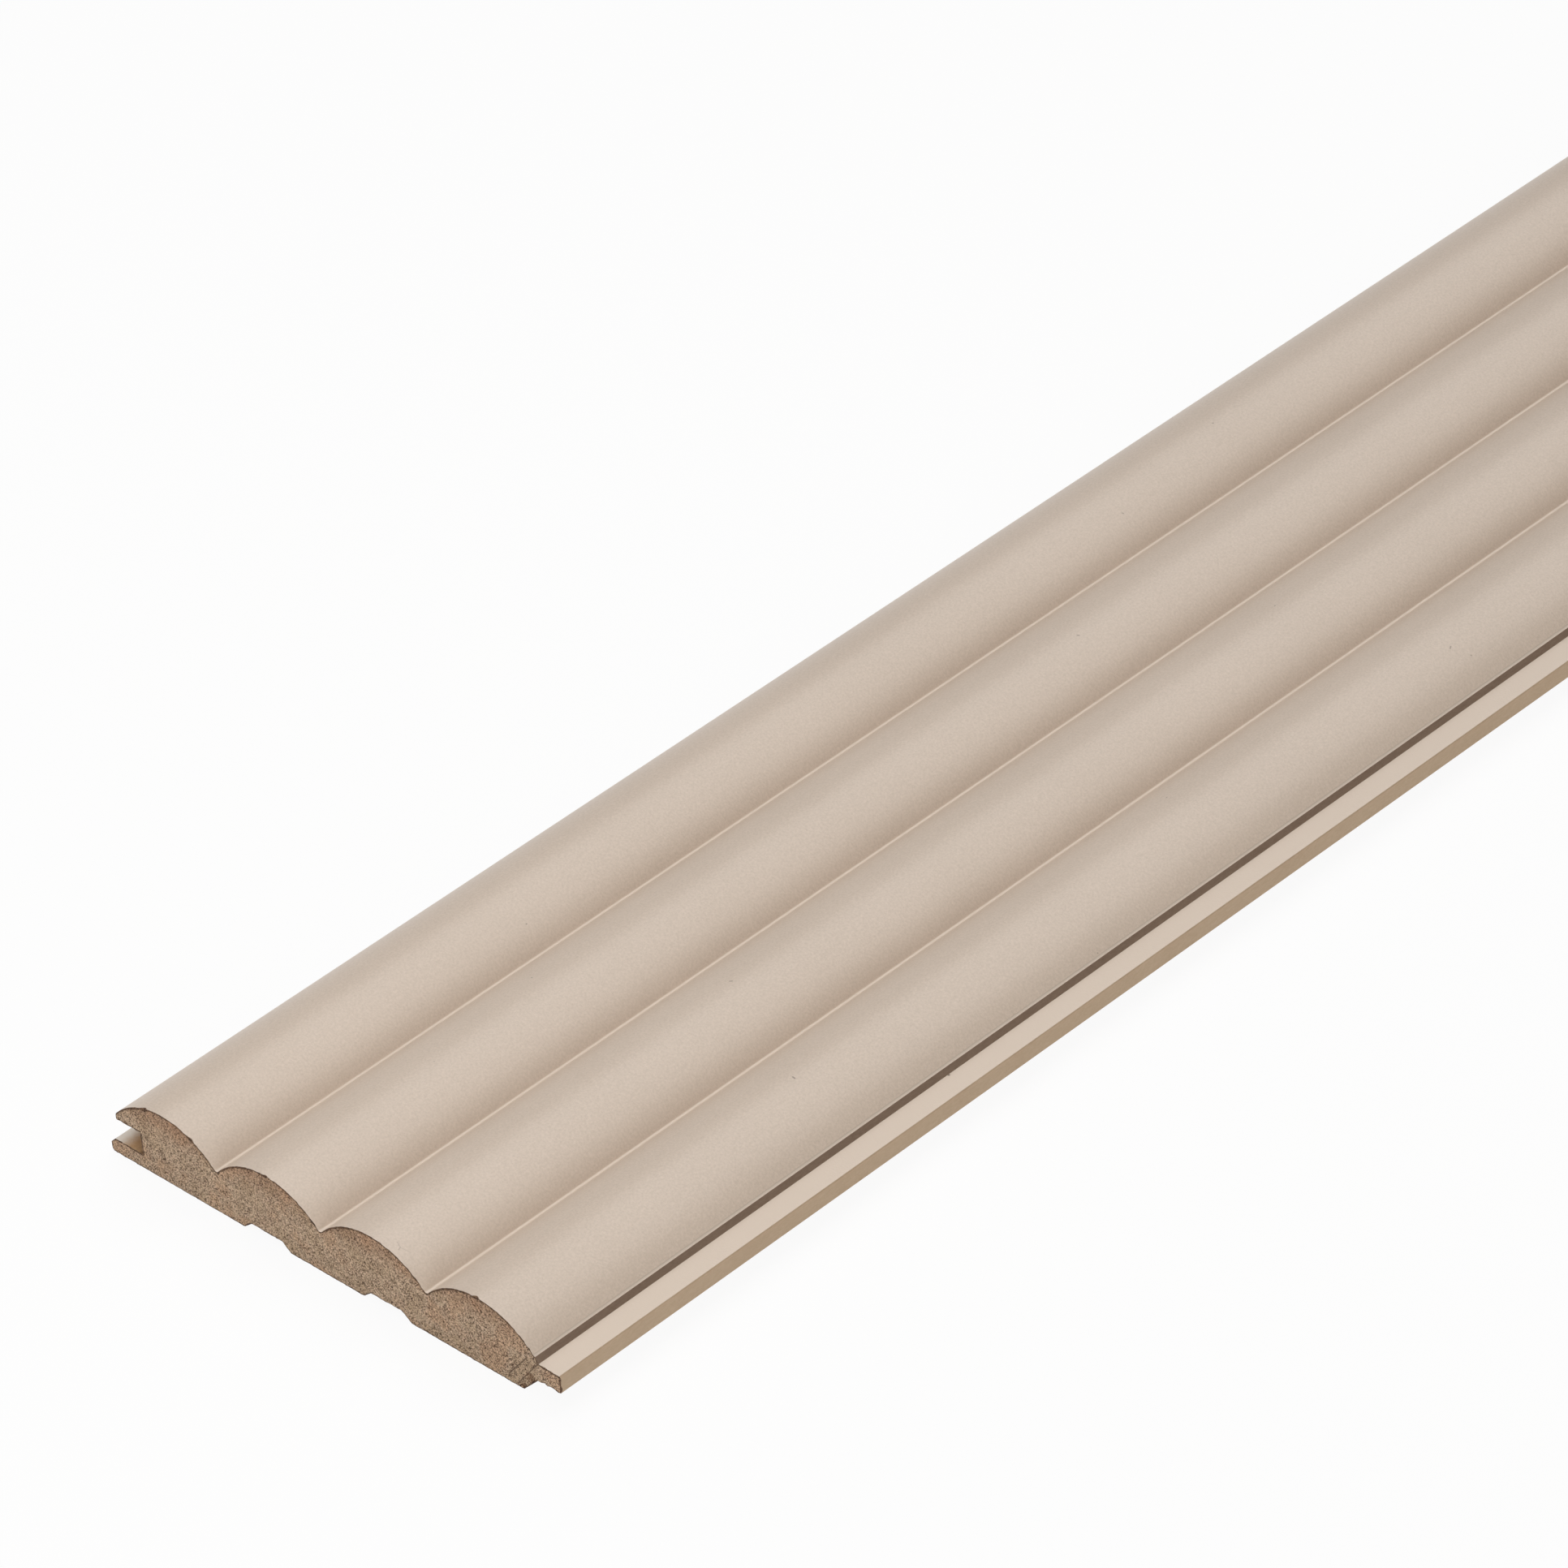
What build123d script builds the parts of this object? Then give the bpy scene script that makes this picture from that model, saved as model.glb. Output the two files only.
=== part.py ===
"""Fluted tongue-and-groove MDF wall panel, lying face up with its length along Y."""
import os

from build123d import *

os.makedirs("parts", exist_ok=True)

# Strip of board, in millimetres
panel_length = 2600.0
panel_thickness = 16.0

# Fluted face: rounded ribs side by side, each followed by a narrow flat valley
flute_count = 4
flute_pitch = 28.0
valley_width = 0.6

# Wall from the last valley down to the tongue, which leans out towards its foot
foot_wall_lean = 0.5

# Tongue, on the +X edge
tongue_thickness = 4.3
tongue_length = 5.5
tongue_nose_radius = 1.0
tongue_top_radius = 0.2

# Groove, on the -X edge, that takes the tongue of the next panel
tongue_top_clearance = 0.3
tongue_under_clearance = 0.6
tongue_end_clearance = 1.1

# Upper lip, whose nose meets the foot wall of the next panel
upper_lip_thickness = 1.25
upper_lip_radius = 0.4

# Lower lip, which reaches under the next panel's bevelled edge
lower_lip_thickness = 3.4
lower_lip_reach = 2.4
lower_lip_bevel = 1.3
lower_lip_radius = 0.8
lip_to_bevel_clearance = 0.2

# Shallow relief grooves along the back, which let the strip lie flat on a wall
relief_count = 2
relief_spacing = 32.0
relief_mouth_width = 12.6
relief_side_angle = 38.0
relief_depth = 1.7

# Levels above the back, from the lower lip up to the valleys
groove_floor = lower_lip_thickness
tongue_underside = groove_floor + tongue_under_clearance
tongue_top = tongue_underside + tongue_thickness
groove_top = tongue_top + tongue_top_clearance
valley_height = groove_top + upper_lip_thickness

# Widths, from the nose of the first rib
fluted_width = flute_count * flute_pitch
rib_width = flute_pitch - valley_width
cover_width = fluted_width + foot_wall_lean
tongue_tip = cover_width + tongue_length
groove_depth = tongue_length + tongue_end_clearance
lip_tip = -lower_lip_reach
lip_bevel_foot = groove_floor - lower_lip_bevel
overall_width = lower_lip_reach + tongue_tip

# The edge under the tongue is bevelled at 45 degrees, to clear the lower lip of the next panel
bevel_start = cover_width + lip_tip - lip_bevel_foot - lip_to_bevel_clearance
bevel_end = bevel_start + tongue_underside

# The section is drawn from the nose of the first rib, and its width is centred on the origin
section_plane = Plane(
    origin=(lower_lip_reach - overall_width / 2, 0, 0), x_dir=(1, 0, 0), z_dir=(0, -1, 0)
)

with BuildPart() as wall_panel:
    with BuildSketch(section_plane) as section:
        with BuildLine():
            # Foot wall, tongue, bevel, back, lower lip and groove
            Polyline(
                (fluted_width, valley_height),
                (cover_width, tongue_top),
                (tongue_tip, tongue_top),
                (tongue_tip, tongue_underside),
                (bevel_end, tongue_underside),
                (bevel_start, 0),
                (lip_tip, 0),
                (lip_tip, lip_bevel_foot),
                (lip_tip + lower_lip_bevel, groove_floor),
                (groove_depth, groove_floor),
                (groove_depth, groove_top),
                (0, groove_top),
                (0, valley_height),
            )
            # Fluted face
            for index in range(flute_count):
                rib_start = index * flute_pitch
                ThreePointArc(
                    (rib_start, valley_height),
                    (rib_start + rib_width / 2, panel_thickness),
                    (rib_start + rib_width, valley_height),
                )
                Line(
                    (rib_start + rib_width, valley_height),
                    (rib_start + flute_pitch, valley_height),
                )
        make_face()

        # Relief grooves with sloping sides, even about the middle of the cover width
        with Locations((cover_width / 2, 0)):
            with GridLocations(relief_spacing, 0, relief_count, 1):
                Trapezoid(
                    relief_mouth_width,
                    relief_depth,
                    relief_side_angle,
                    align=(Align.CENTER, Align.MIN),
                    mode=Mode.SUBTRACT,
                )

        # Corners that the cutters leave round, each found by its place in the section
        rounded_corners = [
            (0, groove_top, upper_lip_radius),
            (lip_tip, 0, lower_lip_radius),
            (tongue_tip, tongue_underside, tongue_nose_radius),
            (tongue_tip, tongue_top, tongue_top_radius),
        ]
        for corner_x, corner_z, radius in rounded_corners:
            fillet(section.vertices().sort_by_distance((corner_x, corner_z))[0], radius)

    extrude(amount=panel_length / 2, both=True)

wall_panel.part.label = "wall_panel"
export_step(wall_panel.part, "parts/wall_panel.step")
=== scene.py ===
import math
import random

import bpy
from mathutils import Matrix, Vector, noise
from mathutils.geometry import delaunay_2d_cdt


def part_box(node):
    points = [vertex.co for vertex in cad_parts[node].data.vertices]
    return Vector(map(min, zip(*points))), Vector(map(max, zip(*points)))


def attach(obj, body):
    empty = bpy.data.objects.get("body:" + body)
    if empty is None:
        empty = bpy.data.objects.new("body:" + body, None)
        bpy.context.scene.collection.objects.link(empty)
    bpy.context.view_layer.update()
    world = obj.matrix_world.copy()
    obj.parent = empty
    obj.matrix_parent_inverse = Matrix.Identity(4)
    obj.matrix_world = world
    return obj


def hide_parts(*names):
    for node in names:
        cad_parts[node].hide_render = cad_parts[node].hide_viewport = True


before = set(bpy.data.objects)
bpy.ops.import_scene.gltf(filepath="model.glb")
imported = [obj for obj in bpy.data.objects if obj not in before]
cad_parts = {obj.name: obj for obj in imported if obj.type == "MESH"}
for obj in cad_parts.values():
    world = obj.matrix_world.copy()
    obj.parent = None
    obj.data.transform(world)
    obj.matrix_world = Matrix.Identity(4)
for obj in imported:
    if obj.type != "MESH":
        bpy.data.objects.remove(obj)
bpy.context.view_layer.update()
low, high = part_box("wall_panel")

mm = 0.001

# Section in millimetres, from the nose of the first rib and up from the back, as the CAD has it
section = {
    "ribCount": 4,
    "ribPitch": 28.0,
    "valleyWidth": 0.6,
    "valleyHeight": 9.85,
    "footWallLean": 0.5,
    "tongueTop": 8.3,
    "tongueThickness": 4.3,
    "tongueLength": 5.5,
    "grooveTop": 8.6,
    "grooveFloor": 3.4,
    "grooveDepth": 6.6,
    "lipReach": 2.4,
    "lipBevel": 1.3,
    "lipToBevel": 0.2,
    "reliefSpacing": 32.0,
    "reliefMouth": 12.6,
    "reliefAngle": 38.0,
    "reliefDepth": 1.7,
}

# Small roundings, in millimetres: the paint fills the valleys and the cutters leave no sharp edge
rounding = {
    "valley": 0.28,
    "easedWall": 0.2,
    "wallTop": 0.2,
    "wallFoot": 0.18,
    "tongueTop": 0.2,
    "tongueNose": 1.0,
    "upperLip": 0.4,
    "lowerLip": 0.8,
    "bevel": 0.15,
    "relief": 0.45,
}

# Sawn ends: how far the saw broke the edges and how deep the fibres stand, in millimetres
sawnEnd = {
    "outlineStep": 0.35,
    "fibreStep": 0.32,
    "edgeBreak": 0.13,
    "edgeRagged": 0.22,
    "bareBreak": 1.9,  # factors for the edges that have no coat
    "bareRagged": 1.6,
    "leastBreak": 0.03,
    "leastRagged": 0.04,
    "chipRagged": 1.4,  # the coat is torn back by this many times a chip's depth
    "shoulderBreak": 0.2,
    "shoulderWidth": 11.0,
    "rimDepth": 0.02,
    "fibreDepth": 0.12,
    "seed": 11,
    "nearSeed": 2.0,
    "farSeed": 31.0,
}

# Cells of the noise in the rim and the torn fibres, in millimetres across and high
noiseCell = {
    "rimFine": (0.5, 0.5),
    "rimCoarse": (2.2, 2.2),
    "ragged": (0.8, 0.8),
    "fibre": (0.55, 0.4),
    "fibreCoarse": (1.4, 1.1),
    "fibreFine": (0.28, 0.25),
    "tear": (0.6, 0.6),
}

# Points of the sawn face: margin and jitter as shares of a fibre step, the rim's least step as a
# share of the outline's, and the most sweeps that may untangle the rim
faceGrid = {
    "margin": 0.75,
    "jitter": 0.3,
    "leastStep": 0.02,
    "sweeps": 60,
}

# Rings of the skin, in millimetres from each end and closer together near it
ringOffsets = [0.0, 1.5, 6.0, 20.0, 60.0, 160.0, 400.0, 800.0]
ringShift = 0.4  # all but the first lie this much further in, clear of the ragged edge

# Face turns sharper than this many degrees stay crisp
crispAngle = 28

# Chips that the saw tore from the rim: place along the outline (x, z), width and depth
chips = [
    {"x": 8.6, "z": 15.2, "width": 0.9, "depth": 0.30},
    {"x": 97.3, "z": 16.0, "width": 0.7, "depth": 0.32},
    {"x": 21.4, "z": 14.2, "width": 0.8, "depth": 0.22},
    {"x": 41.9, "z": 16.0, "width": 0.6, "depth": 0.20},
    {"x": 115.6, "z": 4.0, "width": 1.3, "depth": 0.40},
    {"x": 113.6, "z": 4.0, "width": 0.8, "depth": 0.30},
]

# Spots where the saw tore fibres out, deeper than the face around them, with painted shade in them at the
# near end
tears = [
    {"x": 110.0, "z": 3.6, "width": 1.5, "height": 1.0, "depth": 0.55},
    {"x": 107.9, "z": 0.9, "width": 1.0, "height": 0.5, "depth": 0.35},
]

# Ghost lines left by the cutter that made the bevel, each from (x, z) to (x, z)
ghostLines = [
    {"start": (112.3, 8.2), "end": (106.4, 0.7)},
    {"start": (109.6, 8.4), "end": (104.3, 2.0)},
]

# Marks in the coat, as strokes between two places: across from the nose and along from the near end
paintMarks = [
    {"start": (74.3, 2.6), "end": (75.5, 2.2), "width": 0.13, "strength": 0.25},
    {"start": (75.5, 2.2), "end": (75.7, 1.6), "width": 0.16, "strength": 0.35},
    {"start": (75.6, 2.2), "end": (77.3, 2.9), "width": 0.12, "strength": 0.18},
    {"start": (67.8, 96.2), "end": (68.2, 96.5), "width": 0.2, "strength": 0.6},
    {"start": (97.5, 82.5), "end": (98.1, 82.4), "width": 0.24, "strength": 0.7},
    {"start": (43.2, 220.4), "end": (43.5, 220.6), "width": 0.22, "strength": 0.6},
    {"start": (20.3, 259.0), "end": (20.5, 259.1), "width": 0.2, "strength": 0.5},
    {"start": (103.0, 263.8), "end": (103.3, 263.3), "width": 0.2, "strength": 0.6},
    {"start": (112.6, 107.9), "end": (112.7, 108.0), "width": 0.3, "strength": 1.0},
]

arcSteps = 72  # straight steps in the arc of each rib
roundingTurn = 12  # degrees between two points of a rounding
roundingShare = 0.48  # a rounding takes at most this share of a side
strokeCore = 0.4  # share of a stroke's width that it covers fully

thickness = (high[2] - low[2]) / mm
noseX = low[0] / mm + section["lipReach"]
nearY = low[1] / mm
farY = high[1] / mm


def colour(hexText):
    # sRGB hex to the linear values that Blender's sockets take
    values = []
    for start in (0, 2, 4):
        channel = int(hexText[start:start + 2], 16) / 255
        if channel <= 0.04045:
            values.append(channel / 12.92)
        else:
            values.append(((channel + 0.055) / 1.055) ** 2.4)
    return (values[0], values[1], values[2], 1.0)


def perMetre(size):
    # Texture scale for a pattern whose cells are this many millimetres
    return 1000.0 / size


def addNode(tree, kind, settings=None, inputs=None):
    node = tree.nodes.new(kind)
    for name, value in (settings or {}).items():
        setattr(node, name, value)
    for name, value in (inputs or {}).items():
        if isinstance(value, bpy.types.NodeSocket):
            tree.links.new(value, node.inputs[name])
        else:
            node.inputs[name].default_value = value
    return node


def fillRamp(ramp, stops):
    while len(ramp.elements) < len(stops):
        ramp.elements.new(0.5)
    for element, (place, value) in zip(ramp.elements, stops):
        element.position = place
        element.color = value


def strokeCover(tree, where, start, end, width):
    # How far a stroke between two places covers a spot: 1 on its line and 0 past its width
    along = end - start
    fromStart = addNode(tree, "ShaderNodeVectorMath", {"operation": "SUBTRACT"}, {0: where, 1: start})
    reach = addNode(tree, "ShaderNodeVectorMath", {"operation": "DOT_PRODUCT"}, {
        0: fromStart.outputs["Vector"], 1: along.normalized()})
    held = addNode(tree, "ShaderNodeClamp", inputs={
        "Value": reach.outputs["Value"], "Min": 0.0, "Max": along.length})
    onLine = addNode(tree, "ShaderNodeVectorMath", {"operation": "SCALE"}, {
        0: along.normalized(), "Scale": held.outputs["Result"]})
    away = addNode(tree, "ShaderNodeVectorMath", {"operation": "DISTANCE"}, {
        0: fromStart.outputs["Vector"], 1: onLine.outputs["Vector"]})
    cover = addNode(tree, "ShaderNodeMapRange", inputs={
        "Value": away.outputs["Value"], "From Min": width * strokeCore, "From Max": width,
        "To Min": 1.0, "To Max": 0.0})
    return cover.outputs["Result"]


def newMaterial(name):
    material = bpy.data.materials.new(name)
    material.use_nodes = True
    material.node_tree.nodes.clear()
    return material, material.node_tree


print("Section and outline")


def ribArc(start, width, base, top, steps):
    # One rib's face as a circular arc through both valleys and the crest
    rise = top - base
    radius = ((width / 2) ** 2 + rise ** 2) / (2 * rise)
    sweep = math.asin(width / 2 / radius)
    points = []
    for step in range(steps + 1):
        angle = sweep * (2 * step / steps - 1)
        across = start + width / 2 + radius * math.sin(angle)
        points.append((across, top - radius + radius * math.cos(angle)))
    return points


def sectionCorners():
    # Corners clockwise from the nose, each as (x, z, zone of the face that follows, rounding)
    ribWidth = section["ribPitch"] - section["valleyWidth"]
    valley = section["valleyHeight"]
    flutedWidth = section["ribCount"] * section["ribPitch"]
    foot = flutedWidth + section["footWallLean"]
    tip = foot + section["tongueLength"]
    under = section["tongueTop"] - section["tongueThickness"]
    lipBevelFoot = section["grooveFloor"] - section["lipBevel"]
    bevelStart = foot - section["lipReach"] - lipBevelFoot - section["lipToBevel"]
    reliefRun = section["reliefDepth"] / math.tan(math.radians(section["reliefAngle"]))
    corners = []
    for rib in range(section["ribCount"]):
        start = rib * section["ribPitch"]
        arc = ribArc(start, ribWidth, valley, thickness, arcSteps)
        for index, (x, z) in enumerate(arc):
            ends = index in (0, len(arc) - 1)
            isNose = rib == 0 and index == 0
            corners.append((x, z, "paint", rounding["valley"] if ends and not isNose else 0.0))
    eased = rounding["easedWall"]
    corners.append((flutedWidth - eased, valley - eased, "footWall", rounding["wallTop"]))
    corners.append((foot, section["tongueTop"], "paint", rounding["wallFoot"]))
    corners.append((tip - rounding["tongueTop"], section["tongueTop"], "arris", 0.0))
    corners.append((tip, section["tongueTop"] - rounding["tongueTop"], "cutEdge", 0.0))
    corners.append((tip, under, "cutEdge", rounding["tongueNose"]))
    corners.append((bevelStart + under, under, "cutEdge", rounding["bevel"]))
    corners.append((bevelStart, 0.0, "back", rounding["bevel"]))
    for side in (1, -1):
        centre = foot / 2 + side * section["reliefSpacing"] / 2
        half = section["reliefMouth"] / 2
        corners.append((centre + half, 0.0, "back", rounding["relief"]))
        corners.append((centre + half - reliefRun, section["reliefDepth"], "back", rounding["relief"]))
        corners.append((centre - half + reliefRun, section["reliefDepth"], "back", rounding["relief"]))
        corners.append((centre - half, 0.0, "back", rounding["relief"]))
    corners.append((-section["lipReach"], 0.0, "cutEdge", rounding["lowerLip"]))
    corners.append((-section["lipReach"], lipBevelFoot, "groove", rounding["bevel"]))
    lipShoulder = section["lipBevel"] - section["lipReach"]
    corners.append((lipShoulder, section["grooveFloor"], "groove", rounding["bevel"]))
    corners.append((section["grooveDepth"], section["grooveFloor"], "groove", rounding["bevel"]))
    corners.append((section["grooveDepth"], section["grooveTop"], "groove", rounding["bevel"]))
    corners.append((0.0, section["grooveTop"], "paint", rounding["upperLip"]))
    return corners


def roundedOutline(corners):
    # Each rounded corner becomes an arc tangent to both of its sides
    outline = []
    for index, (x, z, zone, radius) in enumerate(corners):
        corner = Vector((x, z))
        before = Vector(corners[index - 1][:2]) - corner
        after = Vector(corners[(index + 1) % len(corners)][:2]) - corner
        previousZone = corners[index - 1][2]
        if radius == 0.0:
            outline.append((x, z, zone))
            continue
        turn = math.pi - before.angle(after)
        longest = min(before.length, after.length) * roundingShare
        reach = min(radius * math.tan(turn / 2), longest)
        start = corner + before.normalized() * reach
        end = corner + after.normalized() * reach
        steps = max(2, int(math.degrees(turn) / roundingTurn))
        for step in range(steps + 1):
            share = step / steps
            place = start.lerp(corner, share).lerp(corner.lerp(end, share), share)
            outline.append((place.x, place.y, zone if share >= 0.5 else previousZone))
    return outline


def dividedOutline(outline, step):
    # Long sides get points along them, so that the sawn rim can be ragged there too
    divided = []
    for index, (x, z, zone) in enumerate(outline):
        nextX, nextZ = outline[(index + 1) % len(outline)][:2]
        count = max(1, int(math.hypot(nextX - x, nextZ - z) / step))
        for part in range(count):
            share = part / count
            divided.append((x + (nextX - x) * share, z + (nextZ - z) * share, zone))
    return divided


outline = dividedOutline(roundedOutline(sectionCorners()), sawnEnd["outlineStep"])
print("outline points", len(outline))


def outwardNormals(outline):
    normals = []
    for index in range(len(outline)):
        before = outline[index - 1]
        after = outline[(index + 1) % len(outline)]
        along = Vector((after[0] - before[0], after[1] - before[1])).normalized()
        normals.append(Vector((-along.y, along.x)))
    return normals


normals = outwardNormals(outline)


def unevenness(x, z, cell, seed):
    # Noise around 0, whose cells are this many millimetres across and high
    return noise.noise(Vector((x / cell[0], z / cell[1], seed)))


def rimBreak(index, seed):
    # How far in from the outline the saw broke the rim, and how far along the face that shows
    x, z = outline[index][:2]
    fine = unevenness(x, z, noiseCell["rimFine"], seed)
    coarse = unevenness(x, z, noiseCell["rimCoarse"], seed + 7.0)
    broken = sawnEnd["edgeBreak"] * (0.75 + 0.55 * fine + 0.45 * coarse)
    ragged = sawnEnd["edgeRagged"] * (0.6 + 0.7 * unevenness(x, z, noiseCell["ragged"], seed + 3.0))
    if outline[index][2] in ("back", "cutEdge"):
        broken *= sawnEnd["bareBreak"]
        ragged *= sawnEnd["bareRagged"]
    else:
        # The coat broke further on the left shoulder of each rib, which the saw met first
        shoulder = (x % section["ribPitch"]) / sawnEnd["shoulderWidth"]
        broken += sawnEnd["shoulderBreak"] * max(0.0, 1 - abs(2 * shoulder - 1) ** 3)
    for chip in chips:
        away = math.hypot(x - chip["x"], z - chip["z"]) / chip["width"]
        if away < 1.0:
            broken += chip["depth"] * (1 - away * away)
            ragged += chip["depth"] * sawnEnd["chipRagged"] * (1 - away * away)
    return max(sawnEnd["leastBreak"], broken), max(sawnEnd["leastRagged"], ragged)


def fibreDepth(x, z, seed):
    # The torn fibres of the sawn board, as a depth below the sawn plane in millimetres
    depth = 0.55 + 0.45 * unevenness(x, z, noiseCell["fibre"], seed)
    depth += 0.35 * unevenness(x, z, noiseCell["fibreCoarse"], seed + 5.0)
    depth += 0.3 * unevenness(x, z, noiseCell["fibreFine"], seed + 9.0)
    depth = sawnEnd["fibreDepth"] * max(0.0, depth)
    for tear in tears:
        away = math.hypot((x - tear["x"]) / tear["width"], (z - tear["z"]) / tear["height"])
        away += 0.5 * unevenness(x, z, noiseCell["tear"], seed + 1.0)
        depth += tear["depth"] * max(0.0, 1 - away * away)
    return depth


def untangled(rim):
    # Rim points that changed order at a tight corner are spread out again between their neighbours
    for sweep in range(faceGrid["sweeps"]):
        crossed = []
        for index in range(len(rim)):
            along = Vector(outline[index][:2]) - Vector(outline[index - 1][:2])
            forward = (rim[index] - rim[index - 1]).dot(along)
            if forward < faceGrid["leastStep"] * along.length_squared:
                crossed.append(index)
        for index in crossed:
            for moved in (index - 1, index):
                rim[moved] = (rim[moved - 1] + rim[(moved + 1) % len(rim)]) / 2
        if not crossed:
            break
    return rim


def endFace(seed):
    # The sawn face as a jittered mesh of fine triangles inside the broken rim
    draw = random.Random(sawnEnd["seed"] + int(seed))
    rim = []
    ragged = []
    for index, (x, z, zone) in enumerate(outline):
        broken, shown = rimBreak(index, seed)
        rim.append(Vector((x, z)) - normals[index] * broken)
        ragged.append(shown)
    rim = untangled(rim)
    step = sawnEnd["fibreStep"]
    margin = step * faceGrid["margin"]
    jitter = faceGrid["jitter"]
    inner = []
    rowCount = int(thickness / step)
    for row in range(rowCount):
        z = (row + 0.5) * step
        crossings = []
        for index in range(len(rim)):
            ax, az = rim[index - 1]
            bx, bz = rim[index]
            if (az > z) != (bz > z):
                crossings.append(ax + (bx - ax) * (z - az) / (bz - az))
        crossings.sort()
        for start, end in zip(crossings[0::2], crossings[1::2]):
            count = int((end - start - step) / step)
            for column in range(max(0, count)):
                x = start + margin + column * (end - start - 2 * margin) / max(1, count - 1)
                inner.append((
                    x + draw.uniform(-jitter, jitter) * step, z + draw.uniform(-jitter, jitter) * step))
    places = rim + [Vector(place) for place in inner]
    edges = [(index, (index + 1) % len(rim)) for index in range(len(rim))]
    found = delaunay_2d_cdt(places, edges, [], 1, 1e-5)
    return {"ragged": ragged, "vertices": found[0], "triangles": found[2]}


zoneSlots = ["paint", "footWall", "arris", "cutEdge", "groove", "back", "sawnRim", "sawnFace"]
zoneIndex = {name: index for index, name in enumerate(zoneSlots)}


def buildPanel():
    # One closed mesh: a skin along the length, a broken rim and a sawn face at each end
    vertices = []
    faces = []
    zones = []
    frayed = set()

    def place(x, y, z):
        vertices.append(((noseX + x) * mm, y * mm, z * mm))
        return len(vertices) - 1

    count = len(outline)
    nearEnd = endFace(sawnEnd["nearSeed"])
    farEnd = endFace(sawnEnd["farSeed"])

    # Skin: the ring at each end follows the ragged edge of the coat
    rings = []
    for offset in ringOffsets:
        inset = nearEnd["ragged"] if offset == 0.0 else [ringShift] * count
        rings.append([place(x, nearY + offset + inset[i], z) for i, (x, z, zone) in enumerate(outline)])
    for offset in reversed(ringOffsets):
        inset = farEnd["ragged"] if offset == 0.0 else [ringShift] * count
        rings.append([place(x, farY - offset - inset[i], z) for i, (x, z, zone) in enumerate(outline)])
    for ring, following in zip(rings[:-1], rings[1:]):
        for i in range(count):
            j = (i + 1) % count
            faces.append((ring[i], ring[j], following[j], following[i]))
            zones.append(zoneIndex[outline[i][2]])

    # Rim and sawn face at each end, whose first vertices are the rim's
    for sawn, ring, seed, y, inward in (
            (nearEnd, rings[0], sawnEnd["nearSeed"], nearY, 1.0),
            (farEnd, rings[-1], sawnEnd["farSeed"], farY, -1.0)):
        first = len(vertices)
        frayed.update(range(first, first + count))
        for index, spot in enumerate(sawn["vertices"]):
            onRim = index < count
            depth = sawnEnd["rimDepth"] if onRim else fibreDepth(spot.x, spot.y, seed)
            place(spot.x, y + inward * depth, spot.y)
        for triangle in sawn["triangles"]:
            corners = [first + index for index in triangle]
            a, b, c = [sawn["vertices"][index] for index in triangle]
            turn = (b.x - a.x) * (c.y - a.y) - (b.y - a.y) * (c.x - a.x)
            if (turn > 0) == (inward < 0):
                corners.reverse()
            faces.append(tuple(corners))
            zones.append(zoneIndex["sawnFace"])
        for i in range(count):
            j = (i + 1) % count
            quad = (first + i, first + j, ring[j], ring[i])
            faces.append(quad if inward > 0 else tuple(reversed(quad)))
            zones.append(zoneIndex["sawnRim"])

    mesh = bpy.data.meshes.new("panel_board")
    mesh.from_pydata(vertices, [], faces)
    mesh.polygons.foreach_set("material_index", zones)
    mesh.polygons.foreach_set("use_smooth", [True] * len(faces))
    mesh.update()
    fray = mesh.attributes.new("fray", "FLOAT", "POINT")  # 1 on the rim of a sawn face, 0 elsewhere
    fray.data.foreach_set("value", [1.0 if index in frayed else 0.0 for index in range(len(vertices))])
    mesh.set_sharp_from_angle(angle=math.radians(crispAngle))
    board = bpy.data.objects.new("panel_board", mesh)
    bpy.context.scene.collection.objects.link(board)
    return board


print("Board mesh")
board = buildPanel()
print("board faces", len(board.data.polygons))

print("Materials")

# Sprayed face: a satin beige lacquer, whose droplets give it a fine grain and a soft orange peel.
# Sizes are in millimetres; the grain is a little coarser than the real one, so that it shows.
paintLook = {
    "colour": "D4C2B1",
    "shade": "C0AE9C",
    "valleyHighlight": "D2C0AE",
    "wallEdgeDark": "BBAA99",
    "tongue": "D3C1AF",
    "mark": "6F5D4E",
    "roughness": 0.37,
    "drift": 40.0,
    "driftShare": 0.35,
    "fineGrain": 0.48,
    "grainShare": 1.7,
    "grainDepth": 0.06,
    "orangePeel": 0.9,
    "peelDepth": 0.06,
    "highlightFull": 0.03,  # heights off the valley where the painted valley highlight starts to fade and ends
    "highlightEnd": 0.22,
    "speckSpacing": 12.0,
    "speckSize": 0.018,  # share of the spacing
    "speckStrength": 0.5,
}


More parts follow.
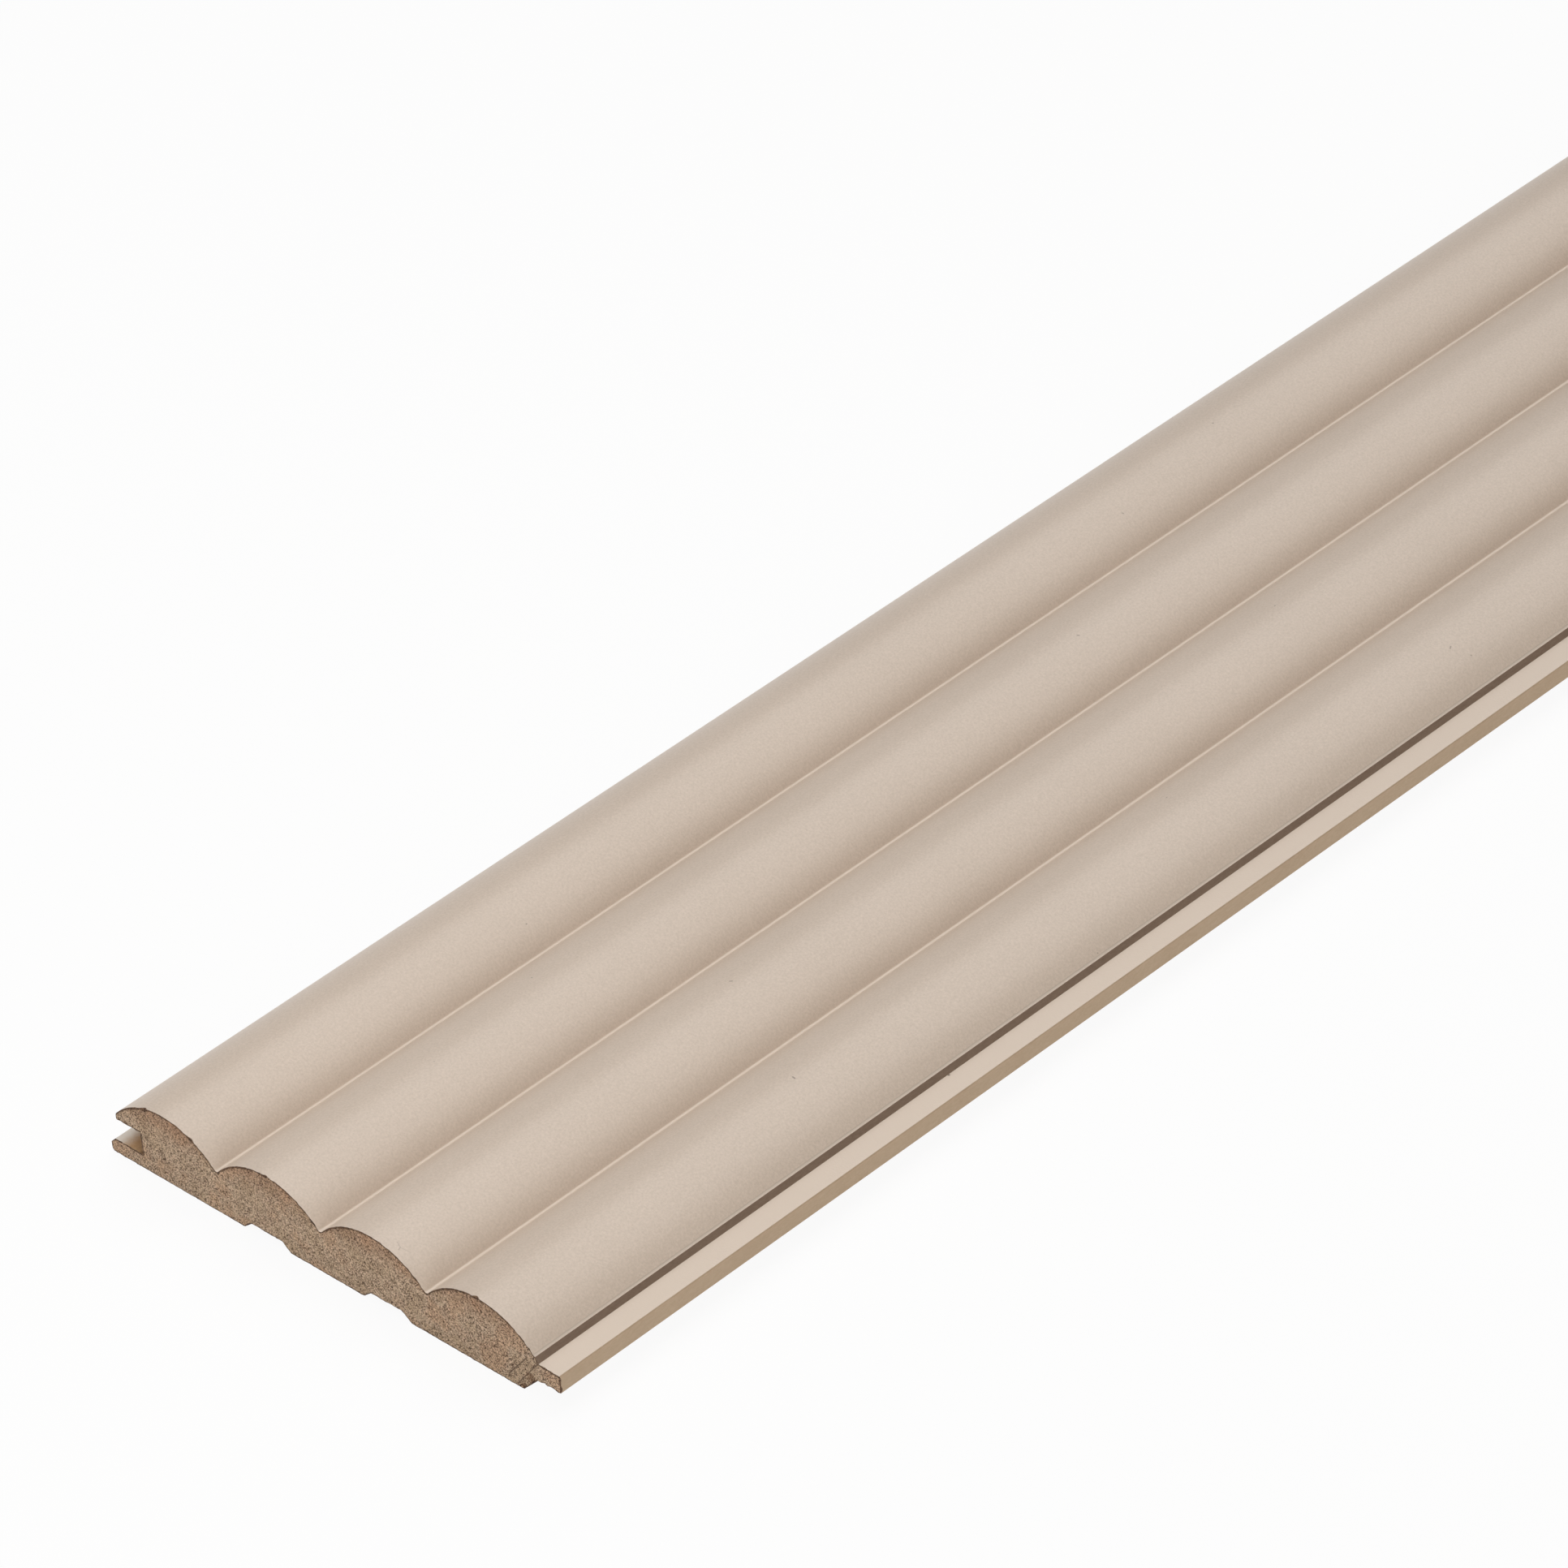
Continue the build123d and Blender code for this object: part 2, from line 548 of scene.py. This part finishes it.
def sprayedPaint():
    material, tree = newMaterial("sprayed_beige_lacquer")
    where = addNode(tree, "ShaderNodeTexCoord").outputs["Object"]
    drift = addNode(tree, "ShaderNodeTexNoise", inputs={
        "Vector": where, "Scale": perMetre(paintLook["drift"]), "Detail": 3.0, "Roughness": 0.5})
    grain = addNode(tree, "ShaderNodeTexNoise", inputs={
        "Vector": where, "Scale": perMetre(paintLook["fineGrain"]), "Detail": 2.0, "Roughness": 0.7})
    centred = addNode(tree, "ShaderNodeMath", {"operation": "MULTIPLY_ADD"}, {
        0: grain.outputs["Fac"], 1: paintLook["grainShare"],
        2: 0.5 - 0.5 * (paintLook["grainShare"] + paintLook["driftShare"])})
    total = addNode(tree, "ShaderNodeMath", {"operation": "MULTIPLY_ADD", "use_clamp": True}, {
        0: drift.outputs["Fac"], 1: paintLook["driftShare"], 2: centred.outputs[0]})
    tint = addNode(tree, "ShaderNodeMix", {"data_type": "RGBA"}, {
        "Factor": total.outputs[0], "A": colour(paintLook["shade"]), "B": colour(paintLook["colour"])})

    # Painted highlight: the coat is lighter along the valleys. It is darker at the top edge of the foot
    # wall, and on the tongue it is one smooth colour, lighter as painted light on its flat top
    axes = addNode(tree, "ShaderNodeSeparateXYZ", inputs={"Vector": where})
    aboveValley = addNode(tree, "ShaderNodeMath", {"operation": "SUBTRACT"}, {
        0: axes.outputs["Z"], 1: section["valleyHeight"] * mm})
    offValley = addNode(tree, "ShaderNodeMath", {"operation": "ABSOLUTE"}, {0: aboveValley.outputs[0]})
    # Painted highlight along each valley, fading off above and below it
    inValley = addNode(tree, "ShaderNodeMapRange", {"interpolation_type": "SMOOTHSTEP"}, {
        "Value": offValley.outputs[0], "From Min": paintLook["highlightFull"] * mm,
        "From Max": paintLook["highlightEnd"] * mm, "To Min": 1.0, "To Max": 0.0})
    # Beyond the last crest the valley takes a darker colour, at the top edge of the foot wall
    lastCrest = (noseX + (section["ribCount"] - 0.5) * section["ribPitch"]) * mm
    beforeWall = addNode(tree, "ShaderNodeMath", {"operation": "LESS_THAN"}, {
        0: axes.outputs["X"], 1: lastCrest})
    valleyColour = addNode(tree, "ShaderNodeMix", {"data_type": "RGBA"}, {
        "Factor": beforeWall.outputs[0],
        "A": colour(paintLook["wallEdgeDark"]), "B": colour(paintLook["valleyHighlight"])})
    foot = (noseX + section["ribCount"] * section["ribPitch"] + section["footWallLean"]) * mm
    # Painted light: the tongue's flat top gets one smooth colour, lighter than the coat elsewhere
    onTongue = addNode(tree, "ShaderNodeMath", {"operation": "GREATER_THAN"}, {
        0: axes.outputs["X"], 1: foot})
    coat = addNode(tree, "ShaderNodeMix", {"data_type": "RGBA"}, {
        "Factor": onTongue.outputs[0], "A": tint.outputs["Result"], "B": colour(paintLook["tongue"])})
    valleyHighlight = addNode(tree, "ShaderNodeMix", {"data_type": "RGBA"}, {
        "Factor": inValley.outputs["Result"],
        "A": coat.outputs["Result"], "B": valleyColour.outputs["Result"]})

    # Specks of dust in the coat, and the marks near the sawn end
    specks = addNode(tree, "ShaderNodeTexVoronoi", inputs={
        "Vector": where, "Scale": perMetre(paintLook["speckSpacing"])})
    isSpeck = addNode(tree, "ShaderNodeMath", {"operation": "LESS_THAN"}, {
        0: specks.outputs["Distance"], 1: paintLook["speckSize"]})
    cover = addNode(tree, "ShaderNodeMath", {"operation": "MULTIPLY"}, {
        0: isSpeck.outputs[0], 1: paintLook["speckStrength"]}).outputs[0]
    flat = addNode(tree, "ShaderNodeVectorMath", {"operation": "MULTIPLY"}, {0: where, 1: (1, 1, 0)})
    for mark in paintMarks:
        start = Vector(((noseX + mark["start"][0]) * mm, (nearY + mark["start"][1]) * mm, 0))
        end = Vector(((noseX + mark["end"][0]) * mm, (nearY + mark["end"][1]) * mm, 0))
        stroke = strokeCover(tree, flat.outputs["Vector"], start, end, mark["width"] * mm)
        faded = addNode(tree, "ShaderNodeMath", {"operation": "MULTIPLY"}, {0: stroke, 1: mark["strength"]})
        cover = addNode(tree, "ShaderNodeMath", {"operation": "MAXIMUM"}, {
            0: cover, 1: faded.outputs[0]}).outputs[0]
    marked = addNode(tree, "ShaderNodeMix", {"data_type": "RGBA"}, {
        "Factor": cover, "A": valleyHighlight.outputs["Result"], "B": colour(paintLook["mark"])})

    peel = addNode(tree, "ShaderNodeTexNoise", inputs={
        "Vector": where, "Scale": perMetre(paintLook["orangePeel"]), "Detail": 3.0, "Roughness": 0.6})
    bump = addNode(tree, "ShaderNodeBump", inputs={
        "Height": peel.outputs["Fac"], "Strength": 0.35, "Distance": paintLook["peelDepth"] * mm})
    fineBump = addNode(tree, "ShaderNodeBump", inputs={
        "Height": grain.outputs["Fac"], "Strength": 0.7, "Distance": paintLook["grainDepth"] * mm,
        "Normal": bump.outputs["Normal"]})
    shader = addNode(tree, "ShaderNodeBsdfPrincipled", inputs={
        "Base Color": marked.outputs["Result"], "Roughness": paintLook["roughness"], "IOR": 1.5,
        "Normal": fineBump.outputs["Normal"]})
    addNode(tree, "ShaderNodeOutputMaterial", inputs={"Surface": shader.outputs["BSDF"]})
    return material


# Moulded MDF: the cutters leave it smooth and evenly brown, with short fibres drawn along the board.
# The foot wall is coloured darker and the back is sanded.
mouldedLook = {
    "edge": {"light": "D5BEA3", "dark": "BFA588", "depth": 0.06},
    "footWall": {"light": "8F7A68", "dark": "705C4C", "depth": 0.05},
    # the tongue's rounded arris, coloured a darker bare MDF so that it draws a thin dark line
    "arris": {"light": "C4AB90", "dark": "AA9075", "depth": 0.05},
    "back": {"light": "BFA488", "dark": "A58A6E", "depth": 0.05},
    "roughness": 0.8,
    "fibre": 0.5,
    "fibreStretch": 0.35,
    "contrast": 1.3,
    "contrastShift": -0.35,
    "band": 9.0,
    "bandShare": 0.3,
}


def mouldedMdf(name, tone):
    material, tree = newMaterial(name)
    where = addNode(tree, "ShaderNodeTexCoord").outputs["Object"]
    stretched = addNode(tree, "ShaderNodeMapping", inputs={
        "Vector": where, "Scale": (1.0, mouldedLook["fibreStretch"], 1.0)})
    fibres = addNode(tree, "ShaderNodeTexNoise", inputs={
        "Vector": stretched.outputs["Vector"], "Scale": perMetre(mouldedLook["fibre"]), "Detail": 4.0,
        "Roughness": 0.65, "Distortion": 0.6})
    bands = addNode(tree, "ShaderNodeTexNoise", inputs={
        "Vector": where, "Scale": perMetre(mouldedLook["band"]), "Detail": 2.0})
    contrast = addNode(tree, "ShaderNodeMath", {"operation": "MULTIPLY_ADD", "use_clamp": True}, {
        0: fibres.outputs["Fac"], 1: mouldedLook["contrast"], 2: mouldedLook["contrastShift"]})
    share = addNode(tree, "ShaderNodeMix", {"data_type": "FLOAT"}, {
        "Factor": mouldedLook["bandShare"], "A": contrast.outputs[0], "B": bands.outputs["Fac"]})
    tint = addNode(tree, "ShaderNodeMix", {"data_type": "RGBA"}, {
        "Factor": share.outputs["Result"], "A": colour(tone["dark"]), "B": colour(tone["light"])})
    bump = addNode(tree, "ShaderNodeBump", inputs={
        "Height": fibres.outputs["Fac"], "Strength": 0.5, "Distance": tone["depth"] * mm})
    shader = addNode(tree, "ShaderNodeBsdfPrincipled", inputs={
        "Base Color": tint.outputs["Result"], "Roughness": mouldedLook["roughness"], "IOR": 1.45,
        "Normal": bump.outputs["Normal"]})
    addNode(tree, "ShaderNodeOutputMaterial", inputs={"Surface": shader.outputs["BSDF"]})
    return material


# Groove: bare milled MDF, brown, with painted shade deep inside by its back wall, and greyed by the spray's
# mist at its mouth.
# Places are in millimetres from the nose.
grooveLook = {
    "bare": "DAB68E",
    "bareDark": "B58E64",
    # colour of the painted shade at the groove's back wall, and where that shade starts and ends around the
    # wall
    "grooveShade": "4A3325",
    "overspray": "DAD1C6",
    "roughness": 0.85,
    "fadeStart": 0.6,
    "fadeEnd": 4.6,
    "mist": 1.1,
    "mistReach": 2.4,
    "shadeBefore": 0.4,
    "shadeAfter": 1.4,
    "shadeShare": 0.8,
    "fibre": 0.5,
    "fibreDepth": 0.12,
}


def oversprayedGroove():
    material, tree = newMaterial("groove_bare_mdf_with_overspray")
    where = addNode(tree, "ShaderNodeTexCoord").outputs["Object"]
    across = addNode(tree, "ShaderNodeSeparateXYZ", inputs={"Vector": where}).outputs["X"]
    mist = addNode(tree, "ShaderNodeTexNoise", inputs={
        "Vector": where, "Scale": perMetre(grooveLook["mist"]), "Detail": 5.0, "Roughness": 0.7})
    shifted = addNode(tree, "ShaderNodeMath", {"operation": "MULTIPLY_ADD"}, {
        0: mist.outputs["Fac"], 1: grooveLook["mistReach"] * mm, 2: across})
    fade = addNode(tree, "ShaderNodeMapRange", {"interpolation_type": "SMOOTHSTEP"}, {
        "Value": shifted.outputs[0], "From Min": (noseX + grooveLook["fadeStart"]) * mm,
        "From Max": (noseX + grooveLook["fadeEnd"]) * mm, "To Min": 1.0, "To Max": 0.0})
    fibres = addNode(tree, "ShaderNodeTexNoise", inputs={
        "Vector": where, "Scale": perMetre(grooveLook["fibre"]), "Detail": 4.0, "Roughness": 0.7})
    bare = addNode(tree, "ShaderNodeMix", {"data_type": "RGBA"}, {
        "Factor": fibres.outputs["Fac"],
        "A": colour(grooveLook["bareDark"]), "B": colour(grooveLook["bare"])})
    tint = addNode(tree, "ShaderNodeMix", {"data_type": "RGBA"}, {
        "Factor": fade.outputs["Result"],
        "A": bare.outputs["Result"], "B": colour(grooveLook["overspray"])})
    # Painted shade: towards the groove's back wall the colour turns to the dark brown of its shadow
    grooveShade = addNode(tree, "ShaderNodeMapRange", {"interpolation_type": "SMOOTHSTEP"}, {
        "Value": shifted.outputs[0],
        "From Min": (noseX + section["grooveDepth"] - grooveLook["shadeBefore"]) * mm,
        "From Max": (noseX + section["grooveDepth"] + grooveLook["shadeAfter"]) * mm,
        "To Min": 0.0, "To Max": grooveLook["shadeShare"]})
    shaded = addNode(tree, "ShaderNodeMix", {"data_type": "RGBA"}, {
        "Factor": grooveShade.outputs["Result"],
        "A": tint.outputs["Result"], "B": colour(grooveLook["grooveShade"])})
    bump = addNode(tree, "ShaderNodeBump", inputs={
        "Height": fibres.outputs["Fac"], "Strength": 0.6, "Distance": grooveLook["fibreDepth"] * mm})
    shader = addNode(tree, "ShaderNodeBsdfPrincipled", inputs={
        "Base Color": shaded.outputs["Result"], "Roughness": grooveLook["roughness"], "IOR": 1.45,
        "Normal": bump.outputs["Normal"]})
    addNode(tree, "ShaderNodeOutputMaterial", inputs={"Surface": shader.outputs["BSDF"]})
    return material


# Sawn MDF: the saw tears the fibres into light and dark flecks, with redder and greyer patches.
# Sizes are in millimetres; the flecks are a little coarser than the real fibres, so that they show.
sawnLook = {
    "pale": "E2C8AB",
    "middle": "B99C81",
    "dark": "463023",
    "redPatch": "FCF3EC",
    "greyPatch": "F5F3EE",
    "nearFace": "E8DCD4",
    "tearShade": "6E4A30",
    "ghost": "5A4334",
    "crushed": "6E5A4C",
    "roughness": 0.92,
    "fleck": 0.27,
    "clump": 0.6,
    "clumpShare": 0.1,
    "fibreStops": (0.43, 0.49, 0.54),
    "patch": 7.0,
    "patchStops": (0.38, 0.50, 0.62),
    "denseFrom": 11.5,
    "denseTo": 17.5,
    "denseDrift": 5.0,
    "ghostWidth": 0.2,
    "dotFrom": 0.42,
    "dotTo": 0.52,
    "dotFaint": 0.2,
    "dotStrong": 0.8,
    "tearShadeDrift": 2.0,  # the painted shade's places are in widths of the torn spot
    "tearShadeFull": 1.2,
    "tearShadeEnd": 2.1,
    "tearShadeShare": 0.8,
    "fibreDepth": 0.2,
    "frayDrift": 0.9,
    "frayFrom": 0.65,
    "frayTo": 1.15,
    "faceDarkness": 0.0,
    "rimDarkness": 0.65,
    "edgeDarkness": 0.85,
}


def sawnMdf(name, darken):
    material, tree = newMaterial(name)
    where = addNode(tree, "ShaderNodeTexCoord").outputs["Object"]
    flecks = addNode(tree, "ShaderNodeTexNoise", inputs={
        "Vector": where, "Scale": perMetre(sawnLook["fleck"]), "Detail": 2.0, "Roughness": 0.6,
        "Distortion": 1.2})
    clumps = addNode(tree, "ShaderNodeTexNoise", inputs={
        "Vector": where, "Scale": perMetre(sawnLook["clump"]), "Detail": 2.0, "Distortion": 0.8})
    fibres = addNode(tree, "ShaderNodeMix", {"data_type": "FLOAT"}, {
        "Factor": sawnLook["clumpShare"], "A": flecks.outputs["Fac"], "B": clumps.outputs["Fac"]})
    ramp = addNode(tree, "ShaderNodeValToRGB", inputs={"Fac": fibres.outputs["Result"]})
    fillRamp(ramp.color_ramp, [
        (sawnLook["fibreStops"][0], colour(sawnLook["dark"])),
        (sawnLook["fibreStops"][1], colour(sawnLook["middle"])),
        (sawnLook["fibreStops"][2], colour(sawnLook["pale"]))])

    # Patches a few millimetres across, redder where the board is dense and greyer where it is loose
    patches = addNode(tree, "ShaderNodeTexNoise", inputs={
        "Vector": where, "Scale": perMetre(sawnLook["patch"]), "Detail": 2.0})
    patchRamp = addNode(tree, "ShaderNodeValToRGB", inputs={"Fac": patches.outputs["Fac"]})
    fillRamp(patchRamp.color_ramp, [
        (sawnLook["patchStops"][0], colour(sawnLook["redPatch"])),
        (sawnLook["patchStops"][1], colour("FFFFFF")),
        (sawnLook["patchStops"][2], colour(sawnLook["greyPatch"]))])
    patched = addNode(tree, "ShaderNodeMix", {"data_type": "RGBA", "blend_type": "MULTIPLY"}, {
        "Factor": 1.0, "A": ramp.outputs["Color"], "B": patchRamp.outputs["Color"]})

    # Denser and darker towards the face of the board
    height = addNode(tree, "ShaderNodeSeparateXYZ", inputs={"Vector": where}).outputs["Z"]
    raised = addNode(tree, "ShaderNodeMath", {"operation": "MULTIPLY_ADD"}, {
        0: patches.outputs["Fac"], 1: sawnLook["denseDrift"] * mm, 2: height})
    dense = addNode(tree, "ShaderNodeMapRange", {"interpolation_type": "SMOOTHSTEP"}, {
        "Value": raised.outputs[0],
        "From Min": sawnLook["denseFrom"] * mm, "From Max": sawnLook["denseTo"] * mm})
    toned = addNode(tree, "ShaderNodeMix", {"data_type": "RGBA", "blend_type": "MULTIPLY"}, {
        "Factor": dense.outputs["Result"],
        "A": patched.outputs["Result"], "B": colour(sawnLook["nearFace"])})

    # Ghost lines of the cutter, broken into dots, and the painted shade where the saw tore the fibres
    flat = addNode(tree, "ShaderNodeVectorMath", {"operation": "MULTIPLY"}, {0: where, 1: (1, 0, 1)})
    dots = addNode(tree, "ShaderNodeMapRange", inputs={
        "Value": flecks.outputs["Fac"],
        "From Min": sawnLook["dotFrom"], "From Max": sawnLook["dotTo"],
        "To Min": sawnLook["dotFaint"], "To Max": sawnLook["dotStrong"]})
    tint = toned.outputs["Result"]
    for line in ghostLines:
        start = Vector(((noseX + line["start"][0]) * mm, 0, line["start"][1] * mm))
        end = Vector(((noseX + line["end"][0]) * mm, 0, line["end"][1] * mm))
        stroke = strokeCover(tree, flat.outputs["Vector"], start, end, sawnLook["ghostWidth"] * mm)
        dotted = addNode(tree, "ShaderNodeMath", {"operation": "MULTIPLY"}, {
            0: stroke, 1: dots.outputs["Result"]})
        tint = addNode(tree, "ShaderNodeMix", {"data_type": "RGBA"}, {
            "Factor": dotted.outputs[0], "A": tint, "B": colour(sawnLook["ghost"])}).outputs["Result"]
    # Painted shade: the torn spots are darkened to the brown of a recess in shadow
    for tear in tears:
        width = tear["width"] * mm
        centre = Vector(((noseX + tear["x"]) * mm, nearY * mm, tear["z"] * mm))
        reach = addNode(tree, "ShaderNodeVectorMath", {"operation": "DISTANCE"}, {0: where, 1: centre})
        uncut = addNode(tree, "ShaderNodeMath", {"operation": "MULTIPLY_ADD"}, {
            0: clumps.outputs["Fac"], 1: sawnLook["tearShadeDrift"] * width, 2: reach.outputs["Value"]})
        tearShade = addNode(tree, "ShaderNodeMapRange", {"interpolation_type": "SMOOTHSTEP"}, {
            "Value": uncut.outputs[0], "From Min": sawnLook["tearShadeFull"] * width,
            "From Max": sawnLook["tearShadeEnd"] * width, "To Min": sawnLook["tearShadeShare"], "To Max": 0.0})
        tint = addNode(tree, "ShaderNodeMix", {"data_type": "RGBA"}, {
            "Factor": tearShade.outputs["Result"], "A": tint, "B": colour(sawnLook["tearShade"])}).outputs["Result"]

    # Crushed fibres along the edge of the face draw a dark ragged line
    fray = addNode(tree, "ShaderNodeAttribute", {"attribute_name": "fray"}).outputs["Fac"]
    uneven = addNode(tree, "ShaderNodeMath", {"operation": "MULTIPLY_ADD"}, {
        0: clumps.outputs["Fac"], 1: sawnLook["frayDrift"], 2: fray})
    crushed = addNode(tree, "ShaderNodeMapRange", inputs={
        "Value": uneven.outputs[0], "From Min": sawnLook["frayFrom"], "From Max": sawnLook["frayTo"],
        "To Min": darken, "To Max": sawnLook["edgeDarkness"]})
    darker = addNode(tree, "ShaderNodeMix", {"data_type": "RGBA", "blend_type": "MULTIPLY"}, {
        "Factor": crushed.outputs["Result"], "A": tint, "B": colour(sawnLook["crushed"])})
    bump = addNode(tree, "ShaderNodeBump", inputs={
        "Height": fibres.outputs["Result"], "Strength": 0.8, "Distance": sawnLook["fibreDepth"] * mm})
    shader = addNode(tree, "ShaderNodeBsdfPrincipled", inputs={
        "Base Color": darker.outputs["Result"], "Roughness": sawnLook["roughness"], "IOR": 1.45,
        "Normal": bump.outputs["Normal"]})
    addNode(tree, "ShaderNodeOutputMaterial", inputs={"Surface": shader.outputs["BSDF"]})
    return material


zoneMaterials = {
    "paint": sprayedPaint(),
    "footWall": mouldedMdf("foot_wall_dark_mdf", mouldedLook["footWall"]),
    "arris": mouldedMdf("dark_arris_mdf", mouldedLook["arris"]),
    "cutEdge": mouldedMdf("moulded_edge_mdf", mouldedLook["edge"]),
    "groove": oversprayedGroove(),
    "back": mouldedMdf("sanded_back_mdf", mouldedLook["back"]),
    "sawnRim": sawnMdf("sawn_rim_mdf", sawnLook["rimDarkness"]),
    "sawnFace": sawnMdf("sawn_end_mdf", sawnLook["faceDarkness"]),
}
for name in zoneSlots:
    board.data.materials.append(zoneMaterials[name])
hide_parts("wall_panel")
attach(board, "root")

print("Floor, light and camera")

# White sweep: seen almost as pure white, and it keeps the panel's shadow
floorLook = {"colour": "F4F2F0", "whiteShare": 0.93, "halfWidth": 12.0}


def buildFloor():
    size = floorLook["halfWidth"]
    corners = [(-size, -size, 0), (size, -size, 0), (size, size, 0), (-size, size, 0)]
    mesh = bpy.data.meshes.new("floor")
    mesh.from_pydata(corners, [], [(0, 1, 2, 3)])
    floor = bpy.data.objects.new("floor", mesh)
    bpy.context.scene.collection.objects.link(floor)
    material, tree = newMaterial("white_sweep")
    path = addNode(tree, "ShaderNodeLightPath")
    seen = addNode(tree, "ShaderNodeMath", {"operation": "MAXIMUM"}, {
        0: path.outputs["Is Camera Ray"], 1: path.outputs["Is Glossy Ray"]})
    share = addNode(tree, "ShaderNodeMath", {"operation": "MULTIPLY"}, {
        0: seen.outputs[0], 1: floorLook["whiteShare"]})
    matt = addNode(tree, "ShaderNodeBsdfDiffuse", inputs={"Color": colour(floorLook["colour"])})
    white = addNode(tree, "ShaderNodeEmission", inputs={"Color": (1, 1, 1, 1), "Strength": 1.0})
    mixed = addNode(tree, "ShaderNodeMixShader", inputs={
        "Fac": share.outputs[0], 1: matt.outputs["BSDF"], 2: white.outputs["Emission"]})
    addNode(tree, "ShaderNodeOutputMaterial", inputs={"Surface": mixed.outputs["Shader"]})
    mesh.materials.append(material)


# Studio light: a wide key from behind, which glances off the ribs towards the camera, and two fills.
# The room itself is only seen, as white, and the suns and the lamp do all the lighting.
room = {"seen": 1.0, "lighting": 0.0}

suns = [
    {"name": "key", "strength": 1.8, "from": (-0.16, 0.51, 0.845), "angle": 62.0},
    {"name": "right_fill", "strength": 0.9, "from": (0.85, -0.4, 0.35), "angle": 40.0},
    {"name": "front_fill", "strength": 0.6, "from": (-0.05, -0.95, 0.3), "angle": 40.0},
]

# Lamp over the near end: watts, edge in metres and place in metres from the near end
nearLamp = {"power": 0.9, "edge": 0.4, "place": (-0.05, -0.15, 0.55)}


def buildWorld():
    world = bpy.data.worlds.new("studio")
    world.use_nodes = True
    tree = world.node_tree
    tree.nodes.clear()
    path = addNode(tree, "ShaderNodeLightPath")
    seen = addNode(tree, "ShaderNodeMath", {"operation": "MAXIMUM"}, {
        0: path.outputs["Is Camera Ray"], 1: path.outputs["Is Glossy Ray"]})
    seenOrThrough = addNode(tree, "ShaderNodeMath", {"operation": "MAXIMUM"}, {
        0: seen.outputs[0], 1: path.outputs["Is Transmission Ray"]})
    strength = addNode(tree, "ShaderNodeMix", {"data_type": "FLOAT"}, {
        "Factor": seenOrThrough.outputs[0], "A": room["lighting"], "B": room["seen"]})
    background = addNode(tree, "ShaderNodeBackground", inputs={
        "Color": (1, 1, 1, 1), "Strength": strength.outputs["Result"]})
    addNode(tree, "ShaderNodeOutputWorld", inputs={"Surface": background.outputs["Background"]})
    bpy.context.scene.world = world


def addSun(sun):
    data = bpy.data.lights.new(sun["name"], "SUN")
    data.energy = sun["strength"]
    data.angle = math.radians(sun["angle"])
    lamp = bpy.data.objects.new(sun["name"], data)
    lamp.rotation_euler = Vector(sun["from"]).to_track_quat("Z", "Y").to_euler()
    bpy.context.scene.collection.objects.link(lamp)


def addNearLamp():
    data = bpy.data.lights.new("near_lamp", "AREA")
    data.energy = nearLamp["power"]
    data.size = nearLamp["edge"]
    lamp = bpy.data.objects.new("near_lamp", data)
    place = Vector(nearLamp["place"])
    lamp.location = Vector((0, nearY * mm, 0)) + place
    lamp.rotation_euler = place.to_track_quat("Z", "Y").to_euler()
    bpy.context.scene.collection.objects.link(lamp)


# Camera at the photograph's angle: degrees, and millimetres from the nose at the near end
cameraFit = {
    "yaw": 46.84, "pitch": 35.87, "roll": -5.0, "lens": 196.83, "sensor": 36.0,
    "across": 1014.79, "before": 773.43, "above": 990.02, "clipStart": 0.05, "clipEnd": 60.0,
}


def buildCamera():
    data = bpy.data.cameras.new("camera")
    data.lens = cameraFit["lens"]
    data.sensor_width = cameraFit["sensor"]
    data.clip_start = cameraFit["clipStart"]
    data.clip_end = cameraFit["clipEnd"]
    camera = bpy.data.objects.new("camera", data)
    turn = Matrix.Rotation(math.radians(cameraFit["yaw"]), 4, "Z")
    tilt = Matrix.Rotation(math.radians(90 - cameraFit["pitch"]), 4, "X")
    roll = Matrix.Rotation(math.radians(cameraFit["roll"]), 4, "Z")
    place = Matrix.Translation(Vector((
        (noseX + cameraFit["across"]) * mm, (nearY - cameraFit["before"]) * mm, cameraFit["above"] * mm)))
    camera.matrix_world = place @ turn @ tilt @ roll
    bpy.context.scene.collection.objects.link(camera)
    bpy.context.scene.camera = camera


buildFloor()
buildWorld()
for sun in suns:
    addSun(sun)
addNearLamp()
buildCamera()
bpy.context.scene.view_settings.view_transform = "Standard"
